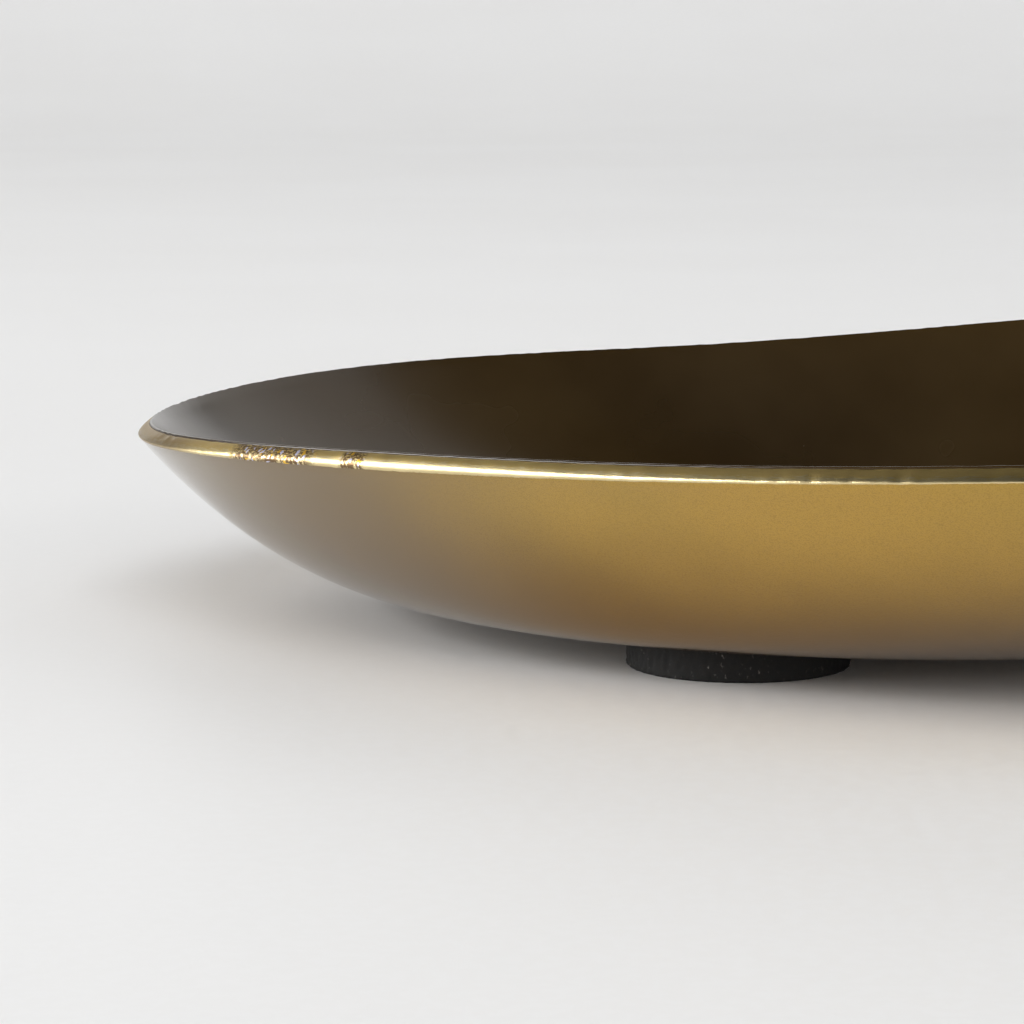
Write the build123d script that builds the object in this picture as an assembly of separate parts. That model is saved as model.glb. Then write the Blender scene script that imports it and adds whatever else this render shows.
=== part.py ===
"""Shallow hand-shaped oval brass tray on round rubber pads.

The tray is one shell of even thickness.  Its flat round base runs smoothly into a
wall that leans outward all round, and the rim is cut square to the wall.  A dark
enamel coat lines the whole inside.  Round rubber pads are stuck under the base.

Frame: X along the tray, Y across it, Z up.  The origin is the centre of the
tray's bounding box, at the level on which the pads stand.
"""

import os
from math import cos, radians, sin, tan, tau

from build123d import *

# ---------------------------------------------------------------- driving dimensions
# All lengths are in millimetres and all angles in degrees.

# Outline of the rim's upper edge.  The first value of each pair of waves is the half
# length or half width of a plain oval.  The others make it egg-shaped and uneven.
LENGTH_WAVES = (76.0, 4.9, 1.8, -0.4)
WIDTH_WAVES = (63.3, 8.2, 4.8, -0.1)

# Height of the rim's upper edge above the table: a mean and its gentle waves.
RIM_HEIGHT = 21.6
HEIGHT_COSINE_WAVES = (3.5, -0.6, -0.6, -0.2)
HEIGHT_SINE_WAVES = (1.3, 0.2, -0.1, -0.4)

SHELL_THICKNESS = 1.5
ENAMEL_THICKNESS = 0.3
RIM_LEAN = 47.7  # angle of the wall at the rim, up from the horizontal

BASE_RADIUS = 47.2
BASE_CENTRE = (-2.2, 1.8)  # measured from the centre of the plain oval

PAD_DIAMETER = 20.0
PAD_THICKNESS = 3.0
PAD_EDGE_ROUNDING = 0.3
ADHESIVE_THICKNESS = 0.2
ADHESIVE_DIAMETER = 19.0
PAD_COUNT = 4
PAD_CIRCLE_RADIUS = 34.8
FIRST_PAD_ANGLE = -87.6

POINTS_PER_RING = 40
RINGS_PER_WALL = 9

# ---------------------------------------------------------------- derived dimensions
BASE_UNDERSIDE = PAD_THICKNESS + ADHESIVE_THICKNESS
BASE_TOP = BASE_UNDERSIDE + SHELL_THICKNESS
ENAMEL_TOP = BASE_TOP + ENAMEL_THICKNESS
RIM_SLOPE = tan(radians(RIM_LEAN))


def rim_outline(turn):
    """Point of the rim's upper edge, seen from above, with its outward direction."""
    x = sum(size * cos(n * turn) for n, size in enumerate(LENGTH_WAVES, 1))
    y = sum(size * sin(n * turn) for n, size in enumerate(WIDTH_WAVES, 1))
    along_x = -sum(n * size * sin(n * turn) for n, size in enumerate(LENGTH_WAVES, 1))
    along_y = sum(n * size * cos(n * turn) for n, size in enumerate(WIDTH_WAVES, 1))
    return Vector(x, y), Vector(along_y, -along_x).normalized()


def rim_height(turn):
    """Height of the rim's upper edge above the table."""
    cosine_waves = sum(size * cos(n * turn) for n, size in enumerate(HEIGHT_COSINE_WAVES, 1))
    sine_waves = sum(size * sin(n * turn) for n, size in enumerate(HEIGHT_SINE_WAVES, 1))
    return RIM_HEIGHT + cosine_waves + sine_waves


def rim_point(turn, depth):
    """Point of the rim, `depth` below the metal's inside, measured square to the wall."""
    place, outward = rim_outline(turn)
    drop = Vector(outward.X * sin(radians(RIM_LEAN)), outward.Y * sin(radians(RIM_LEAN)),
                  -cos(radians(RIM_LEAN)))
    return Vector(place.X, place.Y, rim_height(turn)) + drop * depth


def base_point(turn, height):
    """Point of the circle at which the flat base ends and the wall begins."""
    return Vector(
        BASE_CENTRE[0] + BASE_RADIUS * cos(turn),
        BASE_CENTRE[1] + BASE_RADIUS * sin(turn),
        height,
    )


def wall_point(foot, top, outward):
    """Point at a part `outward` of the way from the wall's foot to its top.

    The wall leaves the base level and reaches the rim at RIM_SLOPE.
    """
    across = top - foot
    run = Vector(across.X, across.Y).length
    rise_part = 3 * outward**2 - 2 * outward**3
    lean_part = outward**3 - outward**2
    height = foot.Z + across.Z * rise_part + run * RIM_SLOPE * lean_part
    return Vector(foot.X + across.X * outward, foot.Y + across.Y * outward, height)


def ring(base_height, rim_depth, outward):
    """Closed curve round the wall, `outward` of the way from the base to the rim."""
    turns = [tau * i / POINTS_PER_RING for i in range(POINTS_PER_RING)]
    points = [
        wall_point(base_point(turn, base_height), rim_point(turn, rim_depth), outward)
        for turn in turns
    ]
    return Wire([Edge.make_spline(points, periodic=True)])


def bowl_faces(base_height, rim_depth):
    """Wall and flat base of one bowl surface, with the wall's upper and lower edges."""
    rings = [
        ring(base_height, rim_depth, i / (RINGS_PER_WALL - 1)) for i in range(RINGS_PER_WALL)
    ]
    wall = Shell.make_loft(rings)
    closed_edges = [edge for edge in wall.edges() if edge.is_closed]
    foot, top = sorted(closed_edges, key=lambda edge: edge.center().Z)
    base = Face(Wire([foot]))
    return wall.faces() + [base], top


def bowl_layer(lower_height, lower_depth, upper_height, upper_depth):
    """Solid between two bowl surfaces, closed by a band across the rim."""
    lower_faces, lower_rim = bowl_faces(lower_height, lower_depth)
    upper_faces, upper_rim = bowl_faces(upper_height, upper_depth)
    band = Face.make_surface_from_curves(lower_rim, upper_rim)
    return Solid(Shell([*lower_faces, *upper_faces, band]))


def tray_shell():
    """The brass body: base, wall and square-cut rim in one piece."""
    return bowl_layer(BASE_UNDERSIDE, SHELL_THICKNESS, BASE_TOP, 0)


def enamel_lining():
    """The dark coat over the whole inside, up to the rim."""
    return bowl_layer(BASE_TOP, 0, ENAMEL_TOP, -ENAMEL_THICKNESS)


def pad_places():
    """Centres of the pads, evenly spaced round the base."""
    for i in range(PAD_COUNT):
        angle = radians(FIRST_PAD_ANGLE + 360 * i / PAD_COUNT)
        yield (
            BASE_CENTRE[0] + PAD_CIRCLE_RADIUS * cos(angle),
            BASE_CENTRE[1] + PAD_CIRCLE_RADIUS * sin(angle),
        )


def foot_pad():
    """One rubber disc with slightly rounded edges, standing on the table."""
    disc = Solid.make_cylinder(PAD_DIAMETER / 2, PAD_THICKNESS)
    return disc.fillet(PAD_EDGE_ROUNDING, disc.edges().filter_by(GeomType.CIRCLE))


def pad_adhesive():
    """One thin adhesive disc between a pad and the base."""
    disc = Solid.make_cylinder(ADHESIVE_DIAMETER / 2, ADHESIVE_THICKNESS)
    return disc.moved(Location((0, 0, PAD_THICKNESS)))


def assembly():
    """Every piece by name, about the centre of the plain oval."""
    pieces = {"tray_shell": tray_shell(), "enamel_lining": enamel_lining()}
    for number, (x, y) in enumerate(pad_places(), 1):
        pieces[f"foot_pad_{number}"] = foot_pad().moved(Location((x, y, 0)))
        pieces[f"pad_adhesive_{number}"] = pad_adhesive().moved(Location((x, y, 0)))
    return pieces


def main():
    pieces = assembly()
    middle = pieces["tray_shell"].bounding_box().center()
    to_origin = Location((-middle.X, -middle.Y, 0))
    os.makedirs("parts", exist_ok=True)
    for name, piece in pieces.items():
        export_step(piece.moved(to_origin), f"parts/{name}.step")


main()
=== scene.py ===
"""Looks for the small oval brass tray: satin lacquered outside, bare worn rim, dark
enamelled inside and dusty rubber pads, on a pale studio sweep."""

from math import cos, pi, radians, sin, tan

import bpy
import numpy as np
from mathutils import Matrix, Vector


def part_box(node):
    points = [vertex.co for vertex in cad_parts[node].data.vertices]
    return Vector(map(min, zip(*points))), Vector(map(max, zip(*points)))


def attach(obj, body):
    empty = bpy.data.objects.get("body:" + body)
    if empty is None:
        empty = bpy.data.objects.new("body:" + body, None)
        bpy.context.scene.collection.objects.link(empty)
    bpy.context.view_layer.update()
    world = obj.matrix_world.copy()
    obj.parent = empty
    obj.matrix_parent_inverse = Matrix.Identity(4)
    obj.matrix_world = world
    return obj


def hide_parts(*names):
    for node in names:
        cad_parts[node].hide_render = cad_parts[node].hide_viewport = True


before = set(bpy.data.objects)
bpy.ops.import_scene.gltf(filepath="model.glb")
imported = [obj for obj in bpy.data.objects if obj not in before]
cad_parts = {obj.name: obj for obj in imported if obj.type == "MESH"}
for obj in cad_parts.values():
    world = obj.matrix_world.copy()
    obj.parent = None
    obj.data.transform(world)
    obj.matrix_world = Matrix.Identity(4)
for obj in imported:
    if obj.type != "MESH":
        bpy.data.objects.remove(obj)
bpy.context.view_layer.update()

# ---------------------------------------------------------------- sizes of the tray
# The tray's shape is a formula, so its own sizes are repeated here, in metres.
MM = 0.001

LENGTH_WAVES = (76.0 * MM, 4.9 * MM, 1.8 * MM, -0.4 * MM)
WIDTH_WAVES = (63.3 * MM, 8.2 * MM, 4.8 * MM, -0.1 * MM)
OVAL_CENTRE = np.array([-4.5 * MM, 0.0])
RIM_HEIGHT = 21.6 * MM
HEIGHT_COSINE_WAVES = (3.5 * MM, -0.6 * MM, -0.6 * MM, -0.2 * MM)
HEIGHT_SINE_WAVES = (1.3 * MM, 0.2 * MM, -0.1 * MM, -0.4 * MM)
RIM_LEAN = radians(47.7)
SHELL_THICKNESS = 1.5 * MM
ENAMEL_THICKNESS = 0.3 * MM
BASE_RADIUS = 47.2 * MM
BASE_CENTRE = OVAL_CENTRE + np.array([-2.2 * MM, 1.8 * MM])
BASE_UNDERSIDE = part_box("tray_shell")[0].z
BASE_TOP = BASE_UNDERSIDE + SHELL_THICKNESS
PAD_COUNT = 4

# ---------------------------------------------------------------- finish of the edges
SHARP_EDGE_RADIUS = 0.13 * MM
WORN_EDGE_RADIUS = 0.55 * MM
WORN_TURN = 252.0  # middle of the stretch of rim that is worn round, in degrees
WORN_SPREAD = 26.0
INNER_EDGE_RADIUS = 0.10 * MM
BAND_CROWN = 0.05 * MM
ENAMEL_LIP_RADIUS = 0.14 * MM
EDGE_WAVINESS = 0.035 * MM

# Dents in the rim's outer edge: turn in degrees, length along the rim, depth.
NICKS = (
    (240.4, 1.0 * MM, 0.03 * MM),
    (273.9, 2.6 * MM, 0.035 * MM),
    (288.1, 0.9 * MM, 0.06 * MM),
    (290.7, 1.1 * MM, 0.065 * MM),
    (293.8, 1.6 * MM, 0.025 * MM),
    (299.3, 0.9 * MM, 0.045 * MM),
    (338.0, 1.4 * MM, 0.05 * MM),
    (21.0, 1.0 * MM, 0.04 * MM),
    (74.0, 2.2 * MM, 0.035 * MM),
    (152.0, 1.2 * MM, 0.05 * MM),
)

PAD_EDGE_RADIUS = 0.30 * MM
PAD_ROUGHNESS = 0.05 * MM

AROUND = 1320  # points round the tray
WALL_STEPS = 24
BASE_PARTS = (0.1, 0.4, 0.7, 0.9)
CORNER_STEPS = 5
BAND_STEPS = 6
PAD_AROUND = 288


# ---------------------------------------------------------------- the tray's formula
turns = 2 * pi * np.arange(AROUND) / AROUND


def waves(sizes, wave, angle):
    """Sum of the waves 1, 2, 3... of the given sizes, at each angle."""
    return sum(size * wave(n * angle) for n, size in enumerate(sizes, 1))


def lumps(angle, slowest, fastest, seed):
    """Uneven wave, mostly between -1 and 1, that closes on itself after a full turn."""
    chance = np.random.default_rng(seed)
    counts = np.arange(slowest, fastest + 1)
    starts = chance.uniform(0, 2 * pi, len(counts))
    sizes = chance.normal(size=len(counts)) / np.sqrt(len(counts))
    return sum(s * np.cos(n * angle + start) for s, n, start in zip(sizes, counts, starts))


def rim_top():
    """The upper edge of the metal's inside, as points, and its outward directions."""
    x = waves(LENGTH_WAVES, np.cos, turns)
    y = waves(WIDTH_WAVES, np.sin, turns)
    rise = waves(HEIGHT_COSINE_WAVES, np.cos, turns) + waves(HEIGHT_SINE_WAVES, np.sin, turns)
    along_x = -waves([n * s for n, s in enumerate(LENGTH_WAVES, 1)], np.sin, turns)
    along_y = waves([n * s for n, s in enumerate(WIDTH_WAVES, 1)], np.cos, turns)
    outward = np.stack([along_y, -along_x], axis=1)
    outward /= np.linalg.norm(outward, axis=1, keepdims=True)
    points = np.stack([x + OVAL_CENTRE[0], y + OVAL_CENTRE[1], RIM_HEIGHT + rise], axis=1)
    return points, outward


def level(height):
    """Column of one height for every point round the tray."""
    return np.full((AROUND, 1), height)


RIM, OUTWARD = rim_top()
UPHILL = np.hstack([OUTWARD * cos(RIM_LEAN), level(sin(RIM_LEAN))])
INTO_METAL = np.hstack([OUTWARD * sin(RIM_LEAN), level(-cos(RIM_LEAN))])
STEPS_ALONG = np.linalg.norm(np.roll(RIM, -1, axis=0) - RIM, axis=1)
ALONG = np.concatenate([[0], np.cumsum(STEPS_ALONG)])


def base_ring(height, part=1.0):
    """Circle on the flat base, `part` of the way out from its centre."""
    x = BASE_CENTRE[0] + BASE_RADIUS * part * np.cos(turns)
    y = BASE_CENTRE[1] + BASE_RADIUS * part * np.sin(turns)
    return np.stack([x, y, np.full(AROUND, height)], axis=1)


def bowl_rings(height, top):
    """Rings from the middle of the base to just below the top of its wall.

    The wall leaves the base level and reaches its top at the lean of the rim.
    """
    rings = [base_ring(height, part) for part in BASE_PARTS]
    foot = base_ring(height)
    across = top - foot
    run = np.linalg.norm(across[:, :2], axis=1)
    for part in [*np.linspace(0, 0.93, WALL_STEPS), 0.96]:
        ring = foot + across * part
        rise = 3 * part**2 - 2 * part**3
        lean = part**3 - part**2
        ring[:, 2] = foot[:, 2] + across[:, 2] * rise + run * tan(RIM_LEAN) * lean
        rings.append(ring)
    return rings


def corner_rings(corner, first, second, radius):
    """Quarter round at `corner`, from the edge that comes along `first` to `second`."""
    centre = corner - first * radius + second * radius
    return [
        centre + first * radius * sin(angle) - second * radius * cos(angle)
        for angle in np.linspace(0, pi / 2, CORNER_STEPS)
    ]


def outer_edge_radius():
    """Rounding of the outer edge, largest in the middle of the worn stretch."""
    away = (np.degrees(turns) - WORN_TURN + 180) % 360 - 180
    worn = np.exp(-((away / WORN_SPREAD) ** 2))
    return (SHARP_EDGE_RADIUS + (WORN_EDGE_RADIUS - SHARP_EDGE_RADIUS) * worn)[:, None]


def nick_depth():
    """How far the outer edge is dented in, all round."""
    middle = np.interp([turn for turn, _, _ in NICKS], np.degrees(turns), ALONG[:-1])
    depth = np.zeros(AROUND)
    for centre, (_, length, deepest) in zip(middle, NICKS):
        depth += deepest * np.exp(-(((ALONG[:-1] - centre) / (length / 2)) ** 2) * 2)
    return depth


# ---------------------------------------------------------------- meshes
def ring_mesh(name, rings, ends, along, across):
    """Closed mesh through the rings, with a point at the middle of each end.

    Its UV map holds real lengths: U round the piece, V across the section.
    """
    around = len(rings[0])
    count = len(rings)
    here = np.arange(around)
    beyond = np.roll(here, -1)
    first_end, last_end = count * around, count * around + 1
    faces, uvs = [], []
    for n in range(count - 1):
        low, high = n * around, (n + 1) * around
        faces += np.stack([low + here, low + beyond, high + beyond, high + here], 1).tolist()
        low_v, high_v = np.full(around, across[n]), np.full(around, across[n + 1])
        u = [along[:-1], along[1:], along[1:], along[:-1]]
        uvs.append(np.stack([*u, low_v, low_v, high_v, high_v], 1).reshape(-1, 2, 4))
    top = (count - 1) * around
    fans = (
        (np.stack([np.full(around, first_end), beyond, here], 1), (1, 0), across[0]),
        (np.stack([np.full(around, last_end), top + here, top + beyond], 1), (0, 1), across[-1]),
    )
    for fan, (left, right), v in fans:
        faces += fan.tolist()
        sides = (along[:-1], along[1:])
        u = [along[:-1], sides[left], sides[right]]
        uvs.append(np.stack([*u, *[np.full(around, v)] * 3], 1).reshape(-1, 2, 3))
    mesh = bpy.data.meshes.new(name)
    mesh.from_pydata(np.vstack([*rings, ends]).tolist(), [], faces)
    mesh.polygons.foreach_set("use_smooth", [True] * len(mesh.polygons))
    pairs = np.concatenate([uv.transpose(0, 2, 1).reshape(-1, 2) for uv in uvs])
    mesh.uv_layers.new(name="along_across").data.foreach_set("uv", pairs.ravel())
    made = bpy.data.objects.new(name, mesh)
    bpy.context.collection.objects.link(made)
    return made


def across_lengths(rings, zero_ring):
    """Mean length across the section from the ring numbered `zero_ring`."""
    steps = [np.linalg.norm(b - a, axis=1).mean() for a, b in zip(rings, rings[1:])]
    lengths = np.concatenate([[0], np.cumsum(steps)])
    return lengths - lengths[zero_ring]


def base_ends(lower, upper):
    """Middle of the flat base on both faces of a layer."""
    return [[*BASE_CENTRE, lower], [*BASE_CENTRE, upper]]


def brass_shell():
    """The dish, with a softly rounded, dented outer edge and a crowned rim."""
    uneven = lumps(turns, 30, 190, seed=3)[:, None] * EDGE_WAVINESS
    dent = nick_depth()[:, None]
    outer_edge = RIM + INTO_METAL * (SHELL_THICKNESS - dent) - UPHILL * (dent + abs(uneven))
    inner_edge = RIM - UPHILL * abs(lumps(turns, 12, 120, seed=5))[:, None] * EDGE_WAVINESS
    underside = bowl_rings(BASE_UNDERSIDE, RIM + INTO_METAL * SHELL_THICKNESS)
    inside = bowl_rings(BASE_TOP, RIM)
    outer_corner = corner_rings(outer_edge, UPHILL, -INTO_METAL, outer_edge_radius())
    inner_corner = corner_rings(inner_edge, -INTO_METAL, -UPHILL, INNER_EDGE_RADIUS)
    band = []
    for part in np.linspace(0, 1, BAND_STEPS + 2)[1:-1]:
        ring = outer_corner[-1] * (1 - part) + inner_corner[0] * part
        band.append(ring + UPHILL * BAND_CROWN * 4 * part * (1 - part))
    rings = [*underside, *outer_corner, *band, *inner_corner, *inside[::-1]]
    lengths = across_lengths(rings, len(underside))
    return ring_mesh("brass_shell", rings, base_ends(BASE_UNDERSIDE, BASE_TOP), ALONG, lengths)


def enamel_coat():
    """The thin dark coat over the inside, with a rounded lip at the rim."""
    high_edge = RIM - INTO_METAL * ENAMEL_THICKNESS
    enamel_top = BASE_TOP + ENAMEL_THICKNESS
    uneven = abs(lumps(turns, 20, 150, seed=8))[:, None] * EDGE_WAVINESS
    lower = bowl_rings(BASE_TOP, RIM)
    upper = bowl_rings(enamel_top, high_edge)
    low_corner = corner_rings(RIM - UPHILL * uneven, UPHILL, -INTO_METAL, ENAMEL_LIP_RADIUS)
    high_corner = corner_rings(
        high_edge - UPHILL * uneven, -INTO_METAL, -UPHILL, ENAMEL_LIP_RADIUS
    )
    rings = [*lower, *low_corner, *high_corner, *upper[::-1]]
    lengths = across_lengths(rings, len(lower))
    return ring_mesh("enamel_coat", rings, base_ends(BASE_TOP, enamel_top), ALONG, lengths)


def worn_pad(number):
    """A rubber disc with soft edges and a slightly rough cut side."""
    low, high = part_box(f"foot_pad_{number}")
    centre = (low + high) / 2
    radius = (high.x - low.x) / 2 - PAD_ROUGHNESS * 2
    corner = PAD_EDGE_RADIUS
    angle = 2 * pi * np.arange(PAD_AROUND) / PAD_AROUND
    quarter = np.linspace(0, pi / 2, CORNER_STEPS)
    profile = [(radius * part, low.z) for part in (0.3, 0.7, 0.95)]
    inner = radius - corner
    profile += [(inner + corner * sin(a), low.z + corner * (1 - cos(a))) for a in quarter]
    side = np.linspace(low.z + corner, high.z - corner, 8)[1:-1]
    profile += [(radius, height) for height in side]
    profile += [(inner + corner * cos(a), high.z - corner * (1 - sin(a))) for a in quarter]
    profile += [(radius * part, high.z) for part in (0.95, 0.7, 0.3)]
    rings = []
    for n, (reach, height) in enumerate(profile):
        is_side = reach > inner
        rough = lumps(angle, 6, 110, seed=100 * number + n) if is_side else 0
        far = reach + rough * PAD_ROUGHNESS
        x, y = centre.x + far * np.cos(angle), centre.y + far * np.sin(angle)
        rings.append(np.stack([x, y, np.full(PAD_AROUND, height)], axis=1))
    along = np.linspace(0, 2 * pi * radius, PAD_AROUND + 1)
    ends = [[centre.x, centre.y, low.z], [centre.x, centre.y, high.z]]
    return ring_mesh(f"rubber_pad_{number}", rings, ends, along, across_lengths(rings, 0))


# ---------------------------------------------------------------- shader helpers
def new_material(name):
    """New node material, with its tree and its shader."""
    made = bpy.data.materials.new(name)
    made.use_nodes = True
    return made, made.node_tree, made.node_tree.nodes["Principled BSDF"]


def add(tree, kind, inputs, **settings):
    """New node.  Each input is linked if it is a socket, and else set to the value."""
    made = tree.nodes.new(kind)
    for name, value in settings.items():
        setattr(made, name, value)
    for key, value in inputs.items():
        if isinstance(value, bpy.types.NodeSocket):
            tree.links.new(value, made.inputs[key])
        else:
            made.inputs[key].default_value = value
    return made


def noise(tree, place, scale, detail=2.0, roughness=0.5):
    inputs = {"Vector": place, "Scale": scale, "Detail": detail, "Roughness": roughness}
    return add(tree, "ShaderNodeTexNoise", inputs).outputs[0]


def calc(tree, operation, first, second=0.0):
    return add(tree, "ShaderNodeMath", {0: first, 1: second}, operation=operation).outputs[0]


def between(tree, value, low, high, to_low=0.0, to_high=1.0):
    """Smooth step from `to_low` at `low` to `to_high` at `high`."""
    inputs = {0: value, 1: low, 2: high, 3: to_low, 4: to_high}
    return add(tree, "ShaderNodeMapRange", inputs, interpolation_type="SMOOTHSTEP").outputs[0]


def blend(tree, part, first, second):
    """Colour that goes from `first` at 0 to `second` at 1."""
    first, second = [c if isinstance(c, bpy.types.NodeSocket) else (*c, 1) for c in (first, second)]
    made = add(tree, "ShaderNodeMix", {0: part, 6: first, 7: second}, data_type="RGBA")
    return made.outputs[2]


def stretched(tree, place, scales):
    return add(tree, "ShaderNodeVectorMath", {0: place, 1: scales}, operation="MULTIPLY").outputs[0]


def bump(tree, height, distance, strength, over=None):
    """Bumped normal, laid over the bumped normal `over` if there is one."""
    inputs = {"Height": height, "Distance": distance, "Strength": strength}
    if over is not None:
        inputs["Normal"] = over
    return add(tree, "ShaderNodeBump", inputs).outputs[0]


def object_place(tree):
    return add(tree, "ShaderNodeTexCoord", {}).outputs["Object"]


def stretch(tree, length, start, end, soft):
    """1 along a stretch of the rim, falling to 0 over `soft` at each end."""
    rise = between(tree, length, start - soft, start)
    fall = between(tree, length, end, end + soft, 1.0, 0.0)
    return calc(tree, "MULTIPLY", rise, fall)


# ---------------------------------------------------------------- materials
# Width of the rim over its rounded edges, where the outer one is sharp.
BAND_WIDTH = SHELL_THICKNESS + (pi / 2 - 1) * (SHARP_EDGE_RADIUS + INNER_EDGE_RADIUS)

GOLD_LACQUER = (0.58, 0.365, 0.072)
OLIVE_LACQUER = (0.53, 0.345, 0.070)
PIT_BROWN = (0.26, 0.15, 0.035)
# The next two colours are painted shade, for the wall's foot and for one side of the wall.
FOOT_SHADE_BROWN = (0.20, 0.100, 0.022)
SIDE_SHADE_BROWN = (0.21, 0.150, 0.085)
BRIGHT_METAL = (0.80, 0.66, 0.36)
BRONZE_METAL = (0.74, 0.55, 0.21)
PATINA_BROWN = (0.13, 0.065, 0.025)
# The next two colours are painted glints in the tarnish.
PAINTED_ORANGE_GLINT = (0.95, 0.58, 0.06)
PAINTED_LILAC_GLINT = (0.72, 0.70, 0.86)

# Where the brass changes, as lengths along the rim from turn 0.  The painted shade on one
# side of the wall and the dull part of the rim both begin at turn 0.  The painted shade at
# the wall's foot is given as lengths down the wall from the rim, which are negative.
SIDE_SHADE_FULL, SIDE_SHADE_END = 288 * MM, 324 * MM
DULL_RIM_FULL, DULL_RIM_END = 266 * MM, 276 * MM
FOOT_SHADE_START, FOOT_SHADE_FULL = -2 * MM, -25 * MM
LONG_TARNISH = (281.0 * MM, 290.5 * MM, 2.5 * MM)  # start, end, softness of the ends
SHORT_TARNISH = (296.0 * MM, 298.3 * MM, 0.7 * MM)
PATCHY_UP_TO = 235 * MM  # the rim has scattered tarnish from turn 0 to here
LACQUER_DRIFT = 12 * MM  # how unevenly the painted shade at the wall's foot ends


def lacquer_colour(tree, cloud, grain, across, painted_side_shade):
    """Golden lacquer with fine pits and painted shade: browner at the wall's foot and on one side.
    """
    colour = blend(tree, between(tree, cloud, 0.3, 0.7), OLIVE_LACQUER, GOLD_LACQUER)
    pits = calc(tree, "MULTIPLY", between(tree, grain, 0.56, 0.34), 0.30)
    colour = blend(tree, pits, colour, PIT_BROWN)
    drift = calc(tree, "MULTIPLY", calc(tree, "SUBTRACT", cloud, 0.5), LACQUER_DRIFT)
    down = calc(tree, "ADD", across, drift)
    # Painted shade: darker brown towards the wall's foot, where the wall mirrors the shadowed floor
    # under the tray.
    painted_foot_shade = between(tree, down, FOOT_SHADE_START, FOOT_SHADE_FULL, 0.0, 0.85)
    colour = blend(tree, painted_foot_shade, colour, FOOT_SHADE_BROWN)
    # Painted shade: darker, greyer brown on one side of the wall.
    return blend(tree, painted_side_shade, colour, SIDE_SHADE_BROWN)


def rim_wear(tree, place, along):
    """1 where the rim is tarnished: two stretches that are placed, and some by chance."""
    placed = calc(
        tree, "MAXIMUM", stretch(tree, along, *LONG_TARNISH), stretch(tree, along, *SHORT_TARNISH)
    )
    by_chance = between(tree, noise(tree, place, 38, detail=1), 0.60, 0.70)
    patchy_side = between(tree, along, PATCHY_UP_TO, PATCHY_UP_TO + 10 * MM, 1.0, 0.0)
    return calc(tree, "MAXIMUM", placed, calc(tree, "MULTIPLY", by_chance, patchy_side))


def rim_colour(tree, place, along, wear, uneven, mottle):
    """Bare metal, pale at the outer edge and bronze within, with patina and painted glints."""
    colour = blend(tree, between(tree, uneven, 0.78, 1.02), BRIGHT_METAL, BRONZE_METAL)
    dull = between(tree, along, DULL_RIM_FULL, DULL_RIM_END, 0.6, 0.0)
    colour = blend(tree, dull, colour, PATINA_BROWN)
    patina = calc(tree, "MULTIPLY", between(tree, mottle, 0.48, 0.58, 0.92, 0.0), wear)
    colour = blend(tree, patina, colour, PATINA_BROWN)
    # Painted glints: tiny orange and lilac spots of colour in the tarnished stretches.
    cells = add(tree, "ShaderNodeTexVoronoi", {"Vector": place, "Scale": 3000.0})
    chance = add(tree, "ShaderNodeSeparateXYZ", {0: cells.outputs["Color"]})
    orange_glint = calc(tree, "MULTIPLY", between(tree, chance.outputs[0], 0.94, 0.95), wear)
    lilac_glint = calc(tree, "MULTIPLY", between(tree, chance.outputs[1], 0.92, 0.93), wear)
    colour = blend(tree, orange_glint, colour, PAINTED_ORANGE_GLINT)
    return blend(tree, lilac_glint, colour, PAINTED_LILAC_GLINT)


def bare_band(tree, place, across):
    """1 on the rim and 0 on the lacquer, with a ragged border at the outer edge."""
    ragged = noise(tree, place, 2600, detail=3, roughness=0.6)
    shifted = calc(tree, "ADD", across, calc(tree, "MULTIPLY", ragged, 0.16 * MM))
    start = between(tree, shifted, 0.04 * MM, 0.10 * MM)
    finish = between(tree, across, BAND_WIDTH, BAND_WIDTH + 0.05 * MM, 1.0, 0.0)
    return calc(tree, "MULTIPLY", start, finish)


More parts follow.
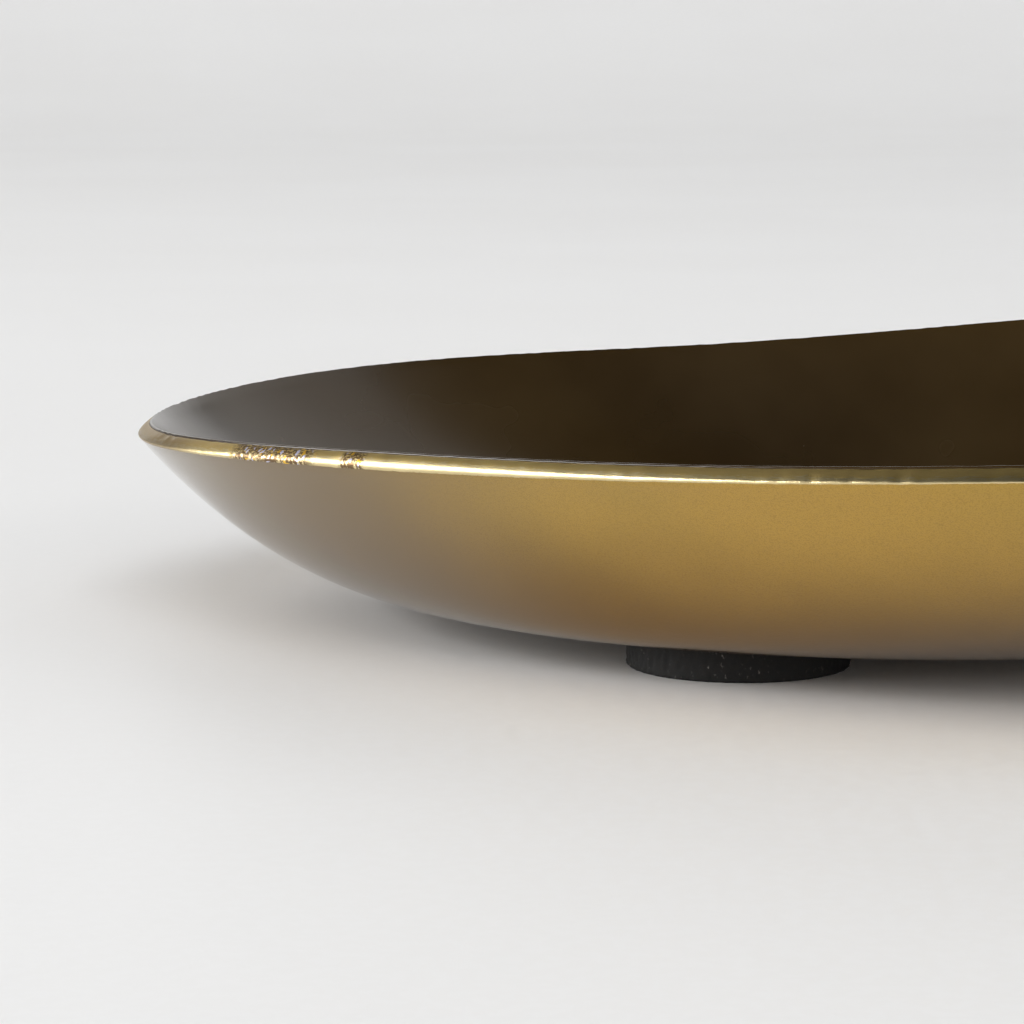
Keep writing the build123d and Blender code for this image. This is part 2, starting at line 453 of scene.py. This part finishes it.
def brass_material():
    """Lacquered satin brass that turns to bare, partly tarnished metal on the rim."""
    made, tree, shader = new_material("satin_brass")
    place = object_place(tree)
    grain = noise(tree, place, 7600, detail=1.5)
    cloud = noise(tree, place, 45, detail=3)
    lengths = add(tree, "ShaderNodeUVMap", {}, uv_map="along_across").outputs[0]
    split = add(tree, "ShaderNodeSeparateXYZ", {0: lengths})
    along, across = split.outputs[0], split.outputs[1]

    # Painted shade on one side of the wall, which also gets more coat there.
    painted_side_shade = between(tree, along, SIDE_SHADE_FULL, SIDE_SHADE_END, 0.85, 0.0)
    lacquer = lacquer_colour(tree, cloud, grain, across, painted_side_shade)

    streak_place = stretched(tree, lengths, (900, 5200, 0))
    streak = noise(tree, streak_place, 1, detail=3, roughness=0.65)
    mottle_place = stretched(tree, lengths, (2300, 4200, 0))
    mottle = noise(tree, mottle_place, 1, detail=2.5, roughness=0.7)
    inwards = calc(tree, "DIVIDE", across, BAND_WIDTH)
    uneven = calc(tree, "ADD", inwards, calc(tree, "MULTIPLY", streak, 1.1))
    metal = rim_colour(tree, place, along, rim_wear(tree, place, along), uneven, mottle)

    bare = bare_band(tree, place, across)
    tree.links.new(blend(tree, bare, lacquer, metal), shader.inputs["Base Color"])
    lacquer_roughness = between(tree, cloud, 0.3, 0.7, 0.19, 0.25)
    metal_roughness = between(tree, uneven, 0.5, 1.3, 0.34, 0.46)
    roughness = add(tree, "ShaderNodeMix", {0: bare, 2: lacquer_roughness, 3: metal_roughness})
    tree.links.new(roughness.outputs[0], shader.inputs["Roughness"])
    lacquer_coat = calc(tree, "ADD", calc(tree, "MULTIPLY", painted_side_shade, 0.5), 0.55)
    coat = calc(tree, "MULTIPLY", lacquer_coat, between(tree, bare, 0.0, 1.0, 1.0, 0.15))
    tree.links.new(coat, shader.inputs["Coat Weight"])
    wall_bump = bump(tree, between(tree, grain, 0.35, 0.68), 0.012 * MM, 0.55)
    rim_height = calc(tree, "MULTIPLY", calc(tree, "ADD", streak, mottle), bare)
    tree.links.new(bump(tree, rim_height, 0.015 * MM, 0.6, wall_bump), shader.inputs["Normal"])
    shader.inputs["Metallic"].default_value = 1
    shader.inputs["Coat Roughness"].default_value = 0.12
    return made


def enamel_material():
    """Dark brown-black coat with a soft cloudiness, fine peel and very little dust."""
    made, tree, shader = new_material("dark_enamel")
    place = object_place(tree)
    cloud = noise(tree, place, 28, detail=4)
    peel = noise(tree, place, 900, detail=2)
    dust = noise(tree, place, 1700, detail=1)
    part = between(tree, cloud, 0.3, 0.7)
    colour = blend(tree, part, (0.019, 0.010, 0.0020), (0.038, 0.022, 0.0055))
    colour = blend(tree, between(tree, dust, 0.85, 0.88), colour, (0.14, 0.12, 0.10))
    tree.links.new(colour, shader.inputs["Base Color"])
    tree.links.new(between(tree, cloud, 0.3, 0.7, 0.22, 0.28), shader.inputs["Roughness"])
    tree.links.new(bump(tree, peel, 0.01 * MM, 0.5), shader.inputs["Normal"])
    return made


def rubber_material():
    """Matt black rubber with fine pores and pale dust."""
    made, tree, shader = new_material("black_rubber")
    place = object_place(tree)
    pores = noise(tree, place, 3800, detail=3, roughness=0.7)
    smear = noise(tree, stretched(tree, place, (1, 1, 0.7)), 2600, detail=3, roughness=0.7)
    patch = noise(tree, place, 160, detail=2)
    dusty_patch = between(tree, patch, 0.4, 0.62)
    dusty = calc(tree, "MULTIPLY", between(tree, smear, 0.60, 0.78), dusty_patch)
    raised = between(tree, pores, 0.35, 0.65)
    black = blend(tree, raised, (0.007, 0.007, 0.007), (0.016, 0.015, 0.014))
    tree.links.new(blend(tree, dusty, black, (0.20, 0.185, 0.165)), shader.inputs["Base Color"])
    tree.links.new(between(tree, pores, 0.3, 0.7, 0.68, 0.9), shader.inputs["Roughness"])
    tree.links.new(bump(tree, pores, 0.06 * MM, 0.7), shader.inputs["Normal"])
    shader.inputs["Specular IOR Level"].default_value = 0.3
    return made


def adhesive_material():
    """Pale double-sided tape, slightly yellowed and grainy."""
    made, tree, shader = new_material("adhesive")
    place = object_place(tree)
    grain = noise(tree, place, 2400, detail=3)
    colour = blend(tree, between(tree, grain, 0.3, 0.7), (0.20, 0.19, 0.165), (0.34, 0.32, 0.28))
    tree.links.new(colour, shader.inputs["Base Color"])
    tree.links.new(between(tree, grain, 0.3, 0.7, 0.45, 0.7), shader.inputs["Roughness"])
    tree.links.new(bump(tree, grain, 0.02 * MM, 0.5), shader.inputs["Normal"])
    return made


def floor_material():
    """Pale board with a faint warmth and a very soft sheen."""
    made, tree, shader = new_material("pale_board")
    place = object_place(tree)
    cloud = noise(tree, place, 9, detail=3)
    fibre = noise(tree, place, 700, detail=3)
    tone = blend(tree, between(tree, cloud, 0.3, 0.7), (0.822, 0.820, 0.816), (0.836, 0.836, 0.834))
    fleck = calc(tree, "MULTIPLY", between(tree, fibre, 0.60, 0.42), 0.05)
    tree.links.new(blend(tree, fleck, tone, (0.6, 0.58, 0.55)), shader.inputs["Base Color"])
    tree.links.new(between(tree, fibre, 0.3, 0.7, 0.42, 0.55), shader.inputs["Roughness"])
    shader.inputs["Specular IOR Level"].default_value = 0.25
    return made


# ---------------------------------------------------------------- dressing the frame
def dress(piece, material, node):
    """Put the piece in place of a CAD node, with its material."""
    piece.data.materials.append(material)
    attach(piece, "root")
    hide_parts(node)


dress(brass_shell(), brass_material(), "tray_shell")
dress(enamel_coat(), enamel_material(), "enamel_lining")

rubber = rubber_material()
tape = adhesive_material()
for number in range(1, PAD_COUNT + 1):
    dress(worn_pad(number), rubber, f"foot_pad_{number}")
    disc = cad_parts[f"pad_adhesive_{number}"]
    disc.data.materials.clear()
    disc.data.materials.append(tape)

# ---------------------------------------------------------------- stage, light, camera
CAMERA_TURN = radians(26.0)
CAMERA_PITCH = radians(7.66)
CAMERA_PLACE = (130.4 * MM, -356.9 * MM, 60.8 * MM)
LENS = 140.6

SWEEP_START = 1.1  # how far behind the tray the floor begins to rise
SWEEP_RADIUS = 1.2
SWEEP_HALF_WIDTH = 4.0
SWEEP_FRONT = -2.5
SWEEP_TOP = 4.0


def sweep():
    """Floor that curves up into a backdrop behind the tray, square to the camera."""
    outline = [(SWEEP_FRONT, 0.0)]
    for angle in np.linspace(0, pi / 2, 33):
        across = SWEEP_START + SWEEP_RADIUS * sin(angle)
        outline.append((across, SWEEP_RADIUS * (1 - cos(angle))))
    outline.append((SWEEP_START + SWEEP_RADIUS, SWEEP_TOP))
    points = [(x, y, z) for y, z in outline for x in (-SWEEP_HALF_WIDTH, SWEEP_HALF_WIDTH)]
    faces = [(2 * i, 2 * i + 1, 2 * i + 3, 2 * i + 2) for i in range(len(outline) - 1)]
    mesh = bpy.data.meshes.new("sweep")
    mesh.from_pydata(points, [], faces)
    mesh.polygons.foreach_set("use_smooth", [True] * len(mesh.polygons))
    mesh.materials.append(floor_material())
    made = bpy.data.objects.new("sweep", mesh)
    made.rotation_euler.z = CAMERA_TURN
    bpy.context.collection.objects.link(made)


# Lights round the tray: degrees to the left of the camera's view, degrees up, size,
# power, and whether shiny surfaces mirror them.
LIGHTS = {
    "left_window": (90, 15, (1.33, 0.86), 29.0, True),
    "backdrop_glow": (0, 15, (1.33, 0.86), 3.2, True),
    "right_back": (-45, 45, (1.00, 0.86), 2.1, True),
    "right_low": (-90, 15, (1.33, 0.86), 5.3, True),
    "right_high": (-90, 45, (1.00, 0.86), 0.9, True),
    "right_front": (-135, 15, (1.33, 0.86), 7.0, True),
    "ceiling_bounce": (0, 89.9, (1.70, 1.70), 6.5, False),
    "front_bounce": (180, 50, (1.20, 1.00), 7.5, False),
    "front_low": (180, 15, (1.33, 0.86), 7.5, False),
}
LIGHT_DISTANCE = 1.6
ROOM_GLOW = 0.015


def softbox(name, azimuth, height, size, power, mirrored):
    """Soft rectangular light that faces the tray."""
    light = bpy.data.lights.new(name, "AREA")
    light.shape = "RECTANGLE"
    light.size, light.size_y = size
    light.energy = power
    made = bpy.data.objects.new(name, light)
    angle = CAMERA_TURN + pi / 2 + radians(azimuth)
    elevation = radians(height)
    flat = LIGHT_DISTANCE * cos(elevation)
    made.location = (flat * cos(angle), flat * sin(angle), LIGHT_DISTANCE * sin(elevation))
    made.rotation_euler = (-made.location).to_track_quat("-Z", "Y").to_euler()
    made.visible_camera = False
    made.visible_glossy = mirrored
    bpy.context.collection.objects.link(made)


sweep()
for light_name, light_settings in LIGHTS.items():
    softbox(light_name, *light_settings)

world = bpy.data.worlds.new("studio")
world.use_nodes = True
world.node_tree.nodes["Background"].inputs["Color"].default_value = (1, 1, 1, 1)
world.node_tree.nodes["Background"].inputs["Strength"].default_value = ROOM_GLOW
bpy.context.scene.world = world

camera = bpy.data.cameras.new("camera")
camera.lens = LENS
camera.clip_start = 0.01
camera_object = bpy.data.objects.new("camera", camera)
camera_object.location = CAMERA_PLACE
camera_object.rotation_euler = (pi / 2 - CAMERA_PITCH, 0, CAMERA_TURN)
bpy.context.collection.objects.link(camera_object)
bpy.context.scene.camera = camera_object
bpy.context.scene.view_settings.view_transform = "Standard"
